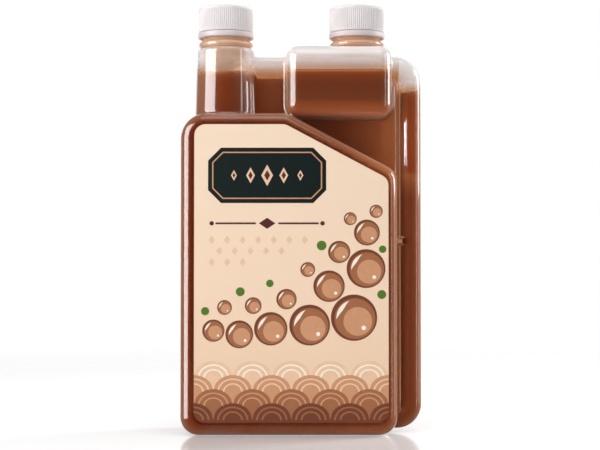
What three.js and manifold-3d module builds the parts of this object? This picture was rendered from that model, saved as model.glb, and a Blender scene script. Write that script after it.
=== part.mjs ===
// Hand soap refill pack: a blown twin-neck dosing bottle, its soap, two screw caps and a front label.
// Millimetres, +Z up, the front faces -Y. The origin is the middle of the overall box, on the floor.
import * as THREE from "three";
import { mergeVertices } from "three/addons/utils/BufferGeometryUtils.js";
import Module from "manifold-3d";

const wasm = await Module();
wasm.setup();

// Main body: a deep slab with one slanted shoulder
const BODY_WIDTH = 118;
const BODY_HEIGHT = 175.4;
const BODY_DEPTH = 54;
const BODY_EDGE_RADIUS = 6.5;
const BODY_CORNER_RADIUS = 10;
const BODY_TOP_CORNER_RADIUS = 14;
const SHOULDER_DROP = 31.9;
const SHOULDER_LAP = 0.6;
const WALL = 1.2;

// Push-up in the base, which leaves a flat standing rim
const BASE_RIM = 8;
const PUSH_UP_HEIGHT = 2.2;
const PUSH_UP_CORNER_RADIUS = 6;
const PUSH_UP_EDGE_RADIUS = 1.5;

// Thin middle web of the body: it stands out at the right and bridges the neck and the chamber
const MIDDLE_DEPTH = 12;
const MIDDLE_STANDOUT = 2.2;
const MIDDLE_CORNER_RADIUS = 5;
const MIDDLE_EDGE_RADIUS = 4;
const BRIDGE_DROP = 4.7;

// Dosing chamber above the slanted shoulder
const CHAMBER_WIDTH = 58.4;
const CHAMBER_HEIGHT = 39.2;
const CHAMBER_DEPTH = 44;
const CHAMBER_INSET = 2.3;
const CHAMBER_SINK = 1.4;
const CHAMBER_CORNER_RADIUS = 7;
const CHAMBER_EDGE_RADIUS = 6;

// Transfer tube from the foot of the body to the top of the chamber
const TUBE_DIAMETER = 11.4;
const TUBE_FOOT_CLEARANCE = 1.8;
const TUBE_TOP_DROP = 9.9;
const TOP_BEND_RADIUS = 9.1;
const BOTTOM_BEND_RADIUS = 8;
const TUBE_STUB = 8.6;
const GROOVE_WIDTH = 1;
const PINCH_WEB_THICKNESS = 2.6;
const TAB_HEIGHT = 4.7;
const TAB_DEPTH = 10.8;
const TAB_LAP = 3;
const TAB_LEVEL = 105.9;
const TAB_EDGE_RADIUS = 1;
const TAB_CORNER_RADIUS = 1.2;

// Filling column at the left
const COLUMN_INSET = 23.6;
const COLUMN_FOOT_RADIUS = 17.1;
const COLUMN_TOP_RADIUS = 16.1;
const COLUMN_SHOULDER = 2;
const COLUMN_SINK = 12;

// Neck finish, the same on both necks, measured up from the chamber's top
const NECK_RADIUS = 12.5;
const NECK_ROOT_RADIUS = 13.4;
const NECK_BORE_RADIUS = 10.9;
const NECK_HEIGHT = 20.6;
const DOSE_NECK_INSET = 18.7;
const BEAD_RADIUS = 15.3;
const BEAD_BASE = 0.4;
const BEAD_HEIGHT = 3.4;
const LOCK_RADIUS = 13.8;
const LOCK_HEIGHT = 1.4;
const LIP_RADIUS = 0.6;

// Screw caps with their tamper bands and sealing wads
const CAP_RADIUS = 15.2;
const CAP_HEIGHT = 14.1;
const CAP_TOP_THICKNESS = 1.3;
const CAP_BORE_RADIUS = 13.95;
const CAP_EDGE_RADIUS = 1.6;
const RIB_COUNT = 84;
const RIB_DEPTH = 0.4;
const RIB_STOP = 2;
const CROWN_STEP = 0.15;
const BAND_RADIUS = 15.6;
const BAND_HEIGHT = 3;
const BAND_SLIT = 0.3;
const BAND_CLEARANCE = 0.3;
const WAD_THICKNESS = 1;
const WAD_CLEARANCE = 0.4;
const SEAT_GAP = 0.15;

// Soap inside
const FILL_HEADSPACE = 14.4;
const TUBE_HEADSPACE = 24.7;
const SOAP_GAP = 0.3;

// Front label in its shallow recess
const LABEL_MARGIN_LEFT = 7.8;
const LABEL_MARGIN_RIGHT = 5;
const LABEL_MARGIN_TOP = 6.6;
const LABEL_MARGIN_BOTTOM = 7.4;
const LABEL_MARGIN_SHOULDER = 6.2;
const LABEL_CORNER_RADIUS = 6;
const LABEL_THICKNESS = 0.2;
const LABEL_CLEARANCE = 0.4;
const LABEL_GLUE_GAP = 0.1;
const RECESS_DEPTH = 0.5;

// Facets, with fewer on the surfaces inside
const ARC_DIVISIONS = 3;
const EDGE_SEGMENTS = 4;
const INNER_ARC_DIVISIONS = 2;
const INNER_EDGE_SEGMENTS = 3;
const ROUND_SEGMENTS = 36;
const TUBE_SIDES = 12;
const BEND_STEPS = 6;

// Places worked out from the sizes above
const overallWidth = BODY_WIDTH + MIDDLE_STANDOUT + GROOVE_WIDTH + TUBE_DIAMETER;
const bodyLeft = -overallWidth / 2;
const bodyRight = bodyLeft + BODY_WIDTH;
const middleRight = bodyRight + MIDDLE_STANDOUT;
const tubeX = middleRight + GROOVE_WIDTH + TUBE_DIAMETER / 2;
const chamberRight = bodyRight - CHAMBER_INSET;
const chamberLeft = chamberRight - CHAMBER_WIDTH;
const chamberBottom = BODY_HEIGHT - CHAMBER_SINK;
const chamberTop = chamberBottom + CHAMBER_HEIGHT;
const shoulderX = chamberLeft + SHOULDER_LAP;
const fillX = bodyLeft + COLUMN_INSET;
const doseX = chamberRight - DOSE_NECK_INSET;
const tubeFootZ = TUBE_FOOT_CLEARANCE + TUBE_DIAMETER / 2;
const tubeTopZ = chamberTop - TUBE_TOP_DROP;
const middleTop = tubeTopZ - TUBE_DIAMETER / 2 - GROOVE_WIDTH;
const bridgeTop = chamberTop - BRIDGE_DROP;
const fillLevel = chamberTop - FILL_HEADSPACE;
const tubeLevel = chamberTop - TUBE_HEADSPACE;
const wadBase = NECK_HEIGHT + SEAT_GAP;
const capTop = wadBase + WAD_THICKNESS + SEAT_GAP + CAP_TOP_THICKNESS;
const capBase = capTop - CAP_HEIGHT;
const bandTop = capBase - BAND_SLIT;
const FAR = 1000;

// A closed three.js geometry as a solid that can be joined and cut
function solid(geometry) {
  geometry.deleteAttribute("normal");
  geometry.deleteAttribute("uv");
  const merged = mergeVertices(geometry, 1e-4);
  const corners = merged.index.array;
  const kept = [];
  for (let i = 0; i < corners.length; i += 3) {
    const [a, b, c] = corners.subarray(i, i + 3);
    if (a !== b && b !== c && c !== a) {
      kept.push(a, b, c);
    }
  }
  const vertProperties = merged.attributes.position.array;
  const triVerts = new Uint32Array(kept);
  return new wasm.Manifold(new wasm.Mesh({ numProp: 3, vertProperties, triVerts }));
}

function joined(...solids) {
  return solids.reduce((whole, piece) => whole.add(piece));
}

function meshOf(name, body, material) {
  const { vertProperties, triVerts } = body.getMesh();
  const geometry = new THREE.BufferGeometry();
  geometry.setAttribute("position", new THREE.BufferAttribute(vertProperties, 3));
  geometry.setIndex(new THREE.BufferAttribute(triVerts, 1));
  geometry.computeVertexNormals();
  const mesh = new THREE.Mesh(geometry, material);
  mesh.name = name;
  return mesh;
}

// The outward normal of each side of a polygon listed anticlockwise, side i running from corner i
function sideNormals(corners) {
  return corners.map((corner, i) => {
    const next = corners[(i + 1) % corners.length];
    return new THREE.Vector2(next.y - corner.y, corner.x - next.x).normalize();
  });
}

// The corners after each side has moved inwards by its own margin
function movedIn(corners, margins, radius) {
  const normals = sideNormals(corners);
  const reach = normals.map((n, i) => n.x * corners[i].x + n.y * corners[i].y - margins[i]);
  return corners.map((_, i) => {
    const before = (i + corners.length - 1) % corners.length;
    const [a, b] = [normals[before], normals[i]];
    const det = a.cross(b);
    const x = (reach[before] * b.y - reach[i] * a.y) / det;
    const y = (reach[i] * a.x - reach[before] * b.x) / det;
    return { x, y, r: radius };
  });
}

// A polygon with rounded corners as a shape, drawn inset from its nominal line
function outline(corners, inset = 0) {
  const shape = new THREE.Shape();
  const normals = sideNormals(corners);
  corners.forEach(({ x, y, r }, i) => {
    const a = normals[(i + corners.length - 1) % corners.length];
    const b = normals[i];
    const back = r / (1 + a.dot(b));
    const middle = { x: x - back * (a.x + b.x), y: y - back * (a.y + b.y) };
    const start = a.angle();
    const turn = Math.atan2(a.cross(b), a.dot(b));
    shape.absarc(middle.x, middle.y, r - inset, start, start + turn, false);
  });
  shape.closePath();
  return shape;
}

function rectangle(left, bottom, right, top, r) {
  return [
    { x: left, y: bottom, r },
    { x: right, y: bottom, r },
    { x: right, y: top, r },
    { x: left, y: top, r },
  ];
}

// A slab standing in the XZ plane, centred on Y = 0, with round front and back edges
function pillow(corners, depth, edge, inset = 0) {
  const round = edge - inset;
  const flat = depth - 2 * edge;
  const inside = inset > 0;
  const geometry = new THREE.ExtrudeGeometry(outline(corners, inset), {
    depth: flat,
    bevelThickness: round,
    bevelSize: round,
    bevelOffset: -round,
    bevelSegments: inside ? INNER_EDGE_SEGMENTS : EDGE_SEGMENTS,
    curveSegments: inside ? INNER_ARC_DIVISIONS : ARC_DIVISIONS,
  });
  return solid(geometry.translate(0, 0, -flat / 2).rotateX(Math.PI / 2));
}

// A plain plate in the XZ plane between two depths
function plate(corners, front, back, inset = 0) {
  const geometry = new THREE.ExtrudeGeometry(outline(corners, inset), {
    depth: back - front,
    bevelEnabled: false,
    curveSegments: ARC_DIVISIONS,
  });
  return solid(geometry.rotateX(Math.PI / 2).translate(0, back, 0));
}

// A body turned about the Z axis from a profile of radius and height, listed upwards
function turned(profile, x = 0, z = 0) {
  const points = profile.map(([radius, height]) => new THREE.Vector2(radius, height));
  const geometry = new THREE.LatheGeometry(points, ROUND_SEGMENTS).rotateX(Math.PI / 2);
  return solid(geometry.translate(x, 0, z));
}

// Profile points round a quarter circle, from its start angle to its end angle in degrees
function arc(radius, height, r, from, to, steps = 3) {
  return Array.from({ length: steps + 1 }, (_, i) => {
    const angle = THREE.MathUtils.degToRad(from + ((to - from) * i) / steps);
    return [radius + r * Math.cos(angle), height + r * Math.sin(angle)];
  });
}

// Everything below a level
function below(level) {
  const geometry = new THREE.BoxGeometry(FAR, FAR, FAR);
  return solid(geometry.translate(0, 0, level - FAR / 2));
}

const bodyCorners = [
  { x: bodyLeft, y: 0, r: BODY_CORNER_RADIUS },
  { x: bodyRight, y: 0, r: BODY_CORNER_RADIUS },
  { x: bodyRight, y: BODY_HEIGHT - SHOULDER_DROP, r: BODY_CORNER_RADIUS },
  { x: shoulderX, y: BODY_HEIGHT, r: BODY_CORNER_RADIUS },
  { x: bodyLeft, y: BODY_HEIGHT, r: BODY_TOP_CORNER_RADIUS },
];
const chamberCorners = rectangle(
  chamberLeft, chamberBottom, chamberRight, chamberTop, CHAMBER_CORNER_RADIUS,
);
const middleCorners = rectangle(fillX, tubeFootZ, middleRight, middleTop, MIDDLE_CORNER_RADIUS);
const bridgeFoot = BODY_HEIGHT - SHOULDER_DROP;
const bridgeRight = chamberLeft + 2 * CHAMBER_CORNER_RADIUS;
const bridgeCorners = rectangle(fillX, bridgeFoot, bridgeRight, bridgeTop, MIDDLE_CORNER_RADIUS);
const labelCorners = movedIn(
  bodyCorners,
  [LABEL_MARGIN_BOTTOM, LABEL_MARGIN_RIGHT, LABEL_MARGIN_SHOULDER, LABEL_MARGIN_TOP, LABEL_MARGIN_LEFT],
  LABEL_CORNER_RADIUS,
);

// Main slab of the body
function bodyForm(inset) {
  return pillow(bodyCorners, BODY_DEPTH, BODY_EDGE_RADIUS, inset);
}

// Thin middle web with the bridge between the column and the chamber
function middleForm(inset) {
  const web = pillow(middleCorners, MIDDLE_DEPTH, MIDDLE_EDGE_RADIUS, inset);
  return web.add(pillow(bridgeCorners, MIDDLE_DEPTH, MIDDLE_EDGE_RADIUS, inset));
}

function chamberForm(inset) {
  return pillow(chamberCorners, CHAMBER_DEPTH, CHAMBER_EDGE_RADIUS, inset);
}

// A line through given stations, one for each step of an extrusion
class StationLine extends THREE.Curve {
  constructor(stations) {
    super();
    this.stations = stations;
  }

  getPoint(t, target = new THREE.Vector3()) {
    const place = t * (this.stations.length - 1);
    const i = Math.min(Math.floor(place), this.stations.length - 2);
    return target.lerpVectors(this.stations[i], this.stations[i + 1], place - i);
  }

  getPointAt(u, target) {
    return this.getPoint(u, target);
  }

  getTangentAt(u, target) {
    return this.getTangent(u, target);
  }

  getSpacedPoints(divisions) {
    return this.getPoints(divisions);
  }
}

// Points round a quarter bend of the tube in the XZ plane
function bend(x, z, r, from, to) {
  return arc(x, z, r, from, to, BEND_STEPS).map(([px, pz]) => new THREE.Vector3(px, 0, pz));
}

// Transfer tube: out of the body's foot, up the right side and over into the chamber
function tubeForm(inset) {
  const footX = tubeX - BOTTOM_BEND_RADIUS;
  const topX = tubeX - TOP_BEND_RADIUS;
  const line = new StationLine([
    new THREE.Vector3(footX - TUBE_STUB, 0, tubeFootZ),
    ...bend(footX, tubeFootZ + BOTTOM_BEND_RADIUS, BOTTOM_BEND_RADIUS, -90, 0),
    ...bend(topX, tubeTopZ - TOP_BEND_RADIUS, TOP_BEND_RADIUS, 0, 90),
    new THREE.Vector3(topX - TUBE_STUB, 0, tubeTopZ),
  ]);
  const section = new THREE.Shape().absarc(0, 0, TUBE_DIAMETER / 2 - inset, 0, 2 * Math.PI, false);
  const geometry = new THREE.ExtrudeGeometry(section, {
    steps: line.stations.length - 1,
    curveSegments: TUBE_SIDES / 2,
    extrudePath: line,
  });
  return solid(geometry);
}

// Pinched web that closes the groove inside the tube's loop, with one thicker tab
function pinchWeb() {
  const inner = chamberRight - TAB_LAP;
  const loop = [
    { x: inner, y: tubeFootZ, r: 0 },
    { x: tubeX, y: tubeFootZ, r: BOTTOM_BEND_RADIUS },
    { x: tubeX, y: tubeTopZ, r: TOP_BEND_RADIUS },
    { x: inner, y: tubeTopZ, r: 0 },
  ];
  const tabTop = TAB_LEVEL + TAB_HEIGHT / 2;
  const tabLeft = middleRight - TAB_LAP;
  const tabRight = middleRight + GROOVE_WIDTH + TAB_LAP;
  const tab = rectangle(tabLeft, tabTop - TAB_HEIGHT, tabRight, tabTop, TAB_CORNER_RADIUS);
  const web = plate(loop, -PINCH_WEB_THICKNESS / 2, PINCH_WEB_THICKNESS / 2);
  return web.add(pillow(tab, TAB_DEPTH, TAB_EDGE_RADIUS));
}

// Filling column up to the foot of its neck
function columnForm(inset) {
  const foot = BODY_HEIGHT - COLUMN_SINK;
  const shoulder = chamberTop - COLUMN_SHOULDER;
  return turned(
    [
      [0, foot],
      [COLUMN_FOOT_RADIUS - inset, foot],
      ...arc(COLUMN_TOP_RADIUS - COLUMN_SHOULDER, shoulder, COLUMN_SHOULDER - inset, 0, 90),
      [0, chamberTop - inset],
    ],
    fillX,
  );
}

// Outside of a neck: a carrying bead, a locking ring under the band, and the wall that carries the thread
function neckForm(x) {
  const beadMiddle = BEAD_BASE + BEAD_HEIGHT / 2;
  const beadRound = BEAD_HEIGHT / 2;
  return turned(
    [
      [0, -WALL],
      [NECK_ROOT_RADIUS, -WALL],
      [NECK_ROOT_RADIUS, BEAD_BASE],
      ...arc(BEAD_RADIUS - beadRound, beadMiddle, beadRound, -90, 90, 5),
      [NECK_ROOT_RADIUS, BEAD_BASE + BEAD_HEIGHT],
      [NECK_ROOT_RADIUS, bandTop - LOCK_HEIGHT],
      [LOCK_RADIUS, bandTop - LOCK_HEIGHT / 2],
      [NECK_RADIUS, bandTop],
      ...arc(NECK_RADIUS - LIP_RADIUS, NECK_HEIGHT - LIP_RADIUS, LIP_RADIUS, 0, 90, 2),
      [0, NECK_HEIGHT],
    ],
    x,
    chamberTop,
  );
}

// Bore of a neck, running past the lip
function neckBore(x, depth) {
  const profile = [[0, -depth], [NECK_BORE_RADIUS, -depth], [NECK_BORE_RADIUS, FAR], [0, FAR]];
  return turned(profile, x, chamberTop);
}

// Label recess on one face, or its swollen form that keeps the wall behind it
function labelRecess(side, grow) {
  const face = (side * BODY_DEPTH) / 2;
  const floor = face - side * (RECESS_DEPTH + grow);
  const outside = face + side * RECESS_DEPTH;
  return plate(labelCorners, Math.min(floor, outside), Math.max(floor, outside), -LABEL_CLEARANCE - grow);
}

// Push-up of the base, or its swollen form that keeps the wall above it
function pushUp(grow) {
  const across = BODY_DEPTH / 2 - BODY_EDGE_RADIUS - BASE_RIM;
  const along = BODY_CORNER_RADIUS + BASE_RIM;
  const corners = rectangle(bodyLeft + along, -across, bodyRight - along, across, PUSH_UP_CORNER_RADIUS);
  const round = PUSH_UP_EDGE_RADIUS;
  const geometry = new THREE.ExtrudeGeometry(outline(corners, -grow), {
    depth: PUSH_UP_HEIGHT,
    bevelThickness: round,
    bevelSize: round,
    bevelOffset: -round,
    bevelSegments: 2,
    curveSegments: 2,
  });
  return solid(geometry.translate(0, 0, grow - round));
}

// Room inside the body, its column and the middle web, drawn a wall inside the outer form
function mainRoom(inset) {
  const clearOfWall = inset - WALL;
  const room = joined(bodyForm(inset), middleForm(inset), columnForm(inset));
  const recesses = joined(labelRecess(-1, inset), labelRecess(1, inset));
  return room.subtract(joined(chamberForm(-clearOfWall), recesses, pushUp(inset)));
}

// The blown bottle: one shell with both necks, the chamber and the tube
function bottle() {
  const forms = [bodyForm, middleForm, chamberForm, columnForm, tubeForm];
  const outside = joined(...forms.map((form) => form(0)), pinchWeb(), neckForm(fillX), neckForm(doseX));
  const pressed = joined(labelRecess(-1, 0), labelRecess(1, 0), pushUp(0));
  const bores = joined(neckBore(fillX, COLUMN_SHOULDER), neckBore(doseX, 2 * WALL));
  const hollow = joined(mainRoom(WALL), chamberForm(WALL), tubeForm(WALL), bores);
  return outside.subtract(pressed).subtract(hollow);
}

// Soap in the body, the column and the tube
function bodySoap() {
  const inset = WALL + SOAP_GAP;
  const inTube = tubeForm(inset).intersect(below(tubeLevel));
  return mainRoom(inset).intersect(below(fillLevel)).add(inTube);
}

// Measured dose in the chamber
function chamberSoap() {
  return chamberForm(WALL + SOAP_GAP).intersect(below(fillLevel));
}

// Ribbed screw cap with a smooth round top edge, drawn about its own axis
function cap() {
  const crown = CAP_RADIUS - RIB_DEPTH - CROWN_STEP;
  const turn = Math.PI / RIB_COUNT;
  const star = Array.from({ length: 2 * RIB_COUNT }, (_, i) => {
    const radius = CAP_RADIUS - (i % 2) * RIB_DEPTH;
    return new THREE.Vector2(radius * Math.cos(i * turn), radius * Math.sin(i * turn));
  });
  const skirt = new THREE.ExtrudeGeometry(new THREE.Shape(star), {
    depth: CAP_HEIGHT - RIB_STOP,
    bevelEnabled: false,
  });
  const lid = turned([
    [0, capTop - CAP_HEIGHT / 2],
    [crown, capTop - CAP_HEIGHT / 2],
    ...arc(crown - CAP_EDGE_RADIUS, capTop - CAP_EDGE_RADIUS, CAP_EDGE_RADIUS, 0, 90),
    [0, capTop],
  ]);
  const bore = turned([
    [0, capBase - CAP_HEIGHT],
    [CAP_BORE_RADIUS, capBase - CAP_HEIGHT],
    [CAP_BORE_RADIUS, capTop - CAP_TOP_THICKNESS],
    [0, capTop - CAP_TOP_THICKNESS],
  ]);
  return solid(skirt.translate(0, 0, capBase)).add(lid).subtract(bore);
}

// Tamper band that stays under the locking ring
function tamperBand() {
  const bottom = bandTop - BAND_HEIGHT;
  const bore = LOCK_RADIUS + BAND_CLEARANCE;
  const round = (BAND_RADIUS - bore) / 2;
  return turned([
    [bore, bottom],
    [BAND_RADIUS - round, bottom],
    ...arc(BAND_RADIUS - round, bottom + round, round, -90, 0),
    [BAND_RADIUS, bandTop],
    [bore, bandTop],
    [bore, bottom],
  ]);
}

// Sealing wad between the lip and the cap's top
function wad() {
  const top = wadBase + WAD_THICKNESS;
  const radius = CAP_BORE_RADIUS - WAD_CLEARANCE;
  return turned([[0, wadBase], [radius, wadBase], [radius, top], [0, top]]);
}

function label() {
  const back = -BODY_DEPTH / 2 + RECESS_DEPTH - LABEL_GLUE_GAP;
  return plate(labelCorners, back - LABEL_THICKNESS, back);
}

function material(color, roughness, extra = {}) {
  return new THREE.MeshStandardMaterial({ color, roughness, metalness: 0, ...extra });
}

const clearPlastic = material("#d9cfca", 0.2, { transparent: true, opacity: 0.35 });
const soap = material("#6f3718", 0.3);
const whitePlastic = material("#efedec", 0.45);
const wadFoam = material("#f4f2ee", 0.8);
const printedFilm = material("#f7dfc8", 0.4);

// One closure on the neck at x, with pieces named after it
function closure(name, x) {
  const group = new THREE.Group();
  group.position.set(x, 0, chamberTop);
  group.add(
    meshOf(`${name}_cap`, cap(), whitePlastic),
    meshOf(`${name}_tamper_band`, tamperBand(), whitePlastic),
    meshOf(`${name}_cap_wad`, wad(), wadFoam),
  );
  return group;
}

const pack = new THREE.Group();
pack.add(
  meshOf("bottle", bottle(), clearPlastic),
  meshOf("body_soap", bodySoap(), soap),
  meshOf("chamber_soap", chamberSoap(), soap),
  meshOf("front_label", label(), printedFilm),
  closure("fill", fillX),
  closure("dose", doseX),
);

export default pack;
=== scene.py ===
import math

import bmesh
import bpy
import numpy as np
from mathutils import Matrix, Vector


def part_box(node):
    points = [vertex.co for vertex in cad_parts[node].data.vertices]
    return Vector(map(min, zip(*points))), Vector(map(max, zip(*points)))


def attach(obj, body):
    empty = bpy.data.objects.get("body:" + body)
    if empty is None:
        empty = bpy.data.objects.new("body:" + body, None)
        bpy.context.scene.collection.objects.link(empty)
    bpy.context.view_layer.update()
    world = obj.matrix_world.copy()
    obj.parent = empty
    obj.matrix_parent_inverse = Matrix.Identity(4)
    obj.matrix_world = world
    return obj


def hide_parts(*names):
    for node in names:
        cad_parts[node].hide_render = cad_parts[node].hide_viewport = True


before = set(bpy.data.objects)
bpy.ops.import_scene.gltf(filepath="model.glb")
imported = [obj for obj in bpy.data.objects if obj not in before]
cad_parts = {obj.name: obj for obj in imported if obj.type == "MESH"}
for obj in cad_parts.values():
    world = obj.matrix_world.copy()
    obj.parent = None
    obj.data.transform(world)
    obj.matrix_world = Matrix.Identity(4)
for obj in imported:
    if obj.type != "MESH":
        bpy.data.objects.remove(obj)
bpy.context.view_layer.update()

# Sizes in millimetres, and counts; rounder chamber edges and deeper ribs than the solids have
MM = 0.001
BODY_WIDTH = 118
BODY_TOP = 175.4
BODY_DEPTH = 54
BODY_EDGE = 6.5
BODY_CORNER = 10
BODY_TOP_CORNER = 14
SHOULDER_DROP = 31.9
SHOULDER_LAP = 0.6
WALL = 1.2
PUSH_UP_INSET = 18
PUSH_UP_ACROSS = 12.5
PUSH_UP_HEIGHT = 2.2
PUSH_UP_CORNER = 6
MIDDLE_DEPTH = 12
MIDDLE_CORNER = 5
MIDDLE_EDGE = 4
GROOVE = 1
CHAMBER_WIDTH = 58.4
CHAMBER_HEIGHT = 39.2
CHAMBER_DEPTH = 44
CHAMBER_INSET = 2.3
CHAMBER_CORNER = 7
CHAMBER_EDGE = 8
BRIDGE_DROP = 4.7
TUBE_RADIUS = 5.7
TUBE_FOOT = 7.5
TUBE_TOP_DROP = 9.9
TOP_BEND = 9.1
BOTTOM_BEND = 8
TUBE_STUB = 8.6
WEB_THICKNESS = 2.6
TAB_LEVEL = 105.9
TAB_HEIGHT = 4.7
TAB_DEPTH = 10.8
TAB_LAP = 3
TAB_CORNER = 1.2
TAB_EDGE = 1
COLUMN_FOOT_RADIUS = 17.1
COLUMN_TOP_RADIUS = 16.1
COLUMN_SHOULDER = 2
COLUMN_SINK = 12
NECK_HEIGHT = 20.6
NECK_RADIUS = 12.5
NECK_ROOT_RADIUS = 13.4
NECK_BORE = 10.9
NECK_SINK = 0.25
LIP_OUTER_EDGE = 0.6
LIP_INNER_EDGE = 0.5
BEAD_RADIUS = 15.3
BEAD_BASE = 0.4
BEAD_HEIGHT = 3.4
BEAD_GAP = 0.1
LOCK_RADIUS = 13.8
LOCK_HEIGHT = 1.4
THREAD_PITCH = 4.23
THREAD_TURNS = 1.6
THREAD_START = 2.2
THREAD_HEIGHT = 0.9
THREAD_SINK = 0.3
THREAD_FOOT = 0.9
THREAD_CREST = 0.4
RIBS = 84
RIB_DEPTH = 0.55
FILL_HEADSPACE = 14.4
TUBE_HEADSPACE = 24.7
RECESS = 0.5
LABEL_CLEARANCE = 0.4

# Fillets where forms meet, in millimetres
RECESS_BLEND = 0.5
PUSH_UP_BLEND = 1.5
BRIDGE_BLEND = 1
MIDDLE_BLEND = 2.2
COLUMN_BLEND = 2
TUBE_BLEND = 1.2
CHAMBER_BLEND = 2.4
WEB_BLEND = 0.8

# Places read from the frame
bottle_low, bottle_high = (np.array(corner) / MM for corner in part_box("bottle"))
label_low, label_high = (np.array(corner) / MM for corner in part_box("front_label"))
body_left = bottle_low[0]
body_right = body_left + BODY_WIDTH
tube_x = bottle_high[0] - TUBE_RADIUS
middle_right = tube_x - TUBE_RADIUS - GROOVE
chamber_top = bottle_high[2] - NECK_HEIGHT
chamber_bottom = chamber_top - CHAMBER_HEIGHT
chamber_right = body_right - CHAMBER_INSET
chamber_left = chamber_right - CHAMBER_WIDTH
shoulder_x = chamber_left + SHOULDER_LAP
tube_top = chamber_top - TUBE_TOP_DROP
middle_top = tube_top - TUBE_RADIUS - GROOVE
bridge_top = chamber_top - BRIDGE_DROP
fill_level = chamber_top - FILL_HEADSPACE
tube_level = chamber_top - TUBE_HEADSPACE


def axis_of(node):
    low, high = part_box(node)
    return (low.x + high.x) / 2 / MM


fill_x = axis_of("fill_cap")
dose_x = axis_of("dose_cap")


# Fields: signed distances in millimetres, negative inside
ARC_STEPS = 10


def rounded(corners):
    """Points of an anticlockwise polygon of (x, z, radius), with its corners drawn as arcs."""
    points = []
    for i, (x, z, radius) in enumerate(corners):
        here = Vector((x, z))
        into = (here - Vector(corners[i - 1][:2])).normalized()
        out = (Vector(corners[(i + 1) % len(corners)][:2]) - here).normalized()
        turn = math.atan2(into.x * out.y - into.y * out.x, into.dot(out))
        middle = here - into * radius * math.tan(turn / 2) + Vector((-into.y, into.x)) * radius
        start = math.atan2(-into.x, into.y)
        steps = ARC_STEPS if radius else 0
        for step in range(steps + 1):
            angle = start + turn * step / max(steps, 1)
            points.append((middle.x + radius * math.cos(angle), middle.y + radius * math.sin(angle)))
    return np.array(points)


def rectangle(left, bottom, right, top, radius):
    corners = [(left, bottom), (right, bottom), (right, top), (left, top)]
    return rounded([(x, z, radius) for x, z in corners])


def outline_distance(x, z, points):
    """Signed distance from an outline in the XZ plane."""
    nearest = np.inf
    side = 1
    for (ax, az), (bx, bz) in zip(points, np.roll(points, -1, axis=0)):
        ex, ez = bx - ax, bz - az
        wx, wz = x - ax, z - az
        along = np.clip((wx * ex + wz * ez) / (ex * ex + ez * ez), 0, 1)
        nearest = np.minimum(nearest, (wx - along * ex) ** 2 + (wz - along * ez) ** 2)
        above, under, left = z >= az, z < bz, ex * wz > ez * wx
        crossed = (above & under & left) | ~(above | under | left)
        side = np.where(crossed, -side, side)
    return side * np.sqrt(nearest)


def line_distance(x, z, points):
    """Distance from an open line in the XZ plane."""
    nearest = np.inf
    for (ax, az), (bx, bz) in zip(points[:-1], points[1:]):
        ex, ez = bx - ax, bz - az
        along = np.clip(((x - ax) * ex + (z - az) * ez) / (ex * ex + ez * ez), 0, 1)
        nearest = np.minimum(nearest, (x - ax - along * ex) ** 2 + (z - az - along * ez) ** 2)
    return np.sqrt(nearest)


def round_overlap(a, b, radius):
    """What two fields share, with a round edge where they meet."""
    a, b = a + radius, b + radius
    return np.minimum(np.maximum(a, b), 0) + np.hypot(np.maximum(a, 0), np.maximum(b, 0)) - radius


def soft_union(a, b, blend):
    """Two fields joined with a fillet."""
    near = np.maximum(blend - np.abs(a - b), 0) / blend
    return np.minimum(a, b) - near * near * blend / 4


def soft_cut(a, b, blend):
    """The first field with the second cut away, the edge eased."""
    return -soft_union(-a, b, blend)


def slab(x, y, z, points, depth, edge):
    return round_overlap(outline_distance(x, z, points), np.abs(y) - depth / 2, edge)


BODY = rounded([
    (body_left, 0, BODY_CORNER),
    (body_right, 0, BODY_CORNER),
    (body_right, BODY_TOP - SHOULDER_DROP, BODY_CORNER),
    (shoulder_x, BODY_TOP, BODY_CORNER),
    (body_left, BODY_TOP, BODY_TOP_CORNER),
])
CHAMBER = rectangle(chamber_left, chamber_bottom, chamber_right, chamber_top, CHAMBER_CORNER)
MIDDLE = rectangle(fill_x, TUBE_FOOT, middle_right, middle_top, MIDDLE_CORNER)
BRIDGE = rectangle(
    fill_x, BODY_TOP - SHOULDER_DROP, chamber_left + 2 * CHAMBER_CORNER, bridge_top, MIDDLE_CORNER
)
TAB = rectangle(
    middle_right - TAB_LAP, TAB_LEVEL - TAB_HEIGHT / 2,
    middle_right + GROOVE + TAB_LAP, TAB_LEVEL + TAB_HEIGHT / 2, TAB_CORNER,
)
WEB = rounded([
    (chamber_right - TAB_LAP, TUBE_FOOT, 0),
    (tube_x, TUBE_FOOT, BOTTOM_BEND),
    (tube_x, tube_top, TOP_BEND),
    (chamber_right - TAB_LAP, tube_top, 0),
])

# Middle line of the transfer tube
TUBE = rounded([
    (tube_x - BOTTOM_BEND - TUBE_STUB, TUBE_FOOT, 0),
    (tube_x, TUBE_FOOT, BOTTOM_BEND),
    (tube_x, tube_top, TOP_BEND),
    (tube_x - TOP_BEND - TUBE_STUB, tube_top, 0),
])


def label_outline():
    """Outline of the label's node, found as the hull of its corners."""
    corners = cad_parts["front_label"].data.vertices
    ordered = sorted({(round(v.co.x / MM, 3), round(v.co.z / MM, 3)) for v in corners})

    def half(points):
        chain = []
        for x, z in points:
            while len(chain) > 1:
                (ax, az), (bx, bz) = chain[-2:]
                if (bx - ax) * (z - az) - (bz - az) * (x - ax) > 0:
                    break
                chain.pop()
            chain.append((x, z))
        return chain[:-1]

    return np.array(half(ordered) + half(ordered[::-1]))


LABEL = label_outline()


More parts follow.
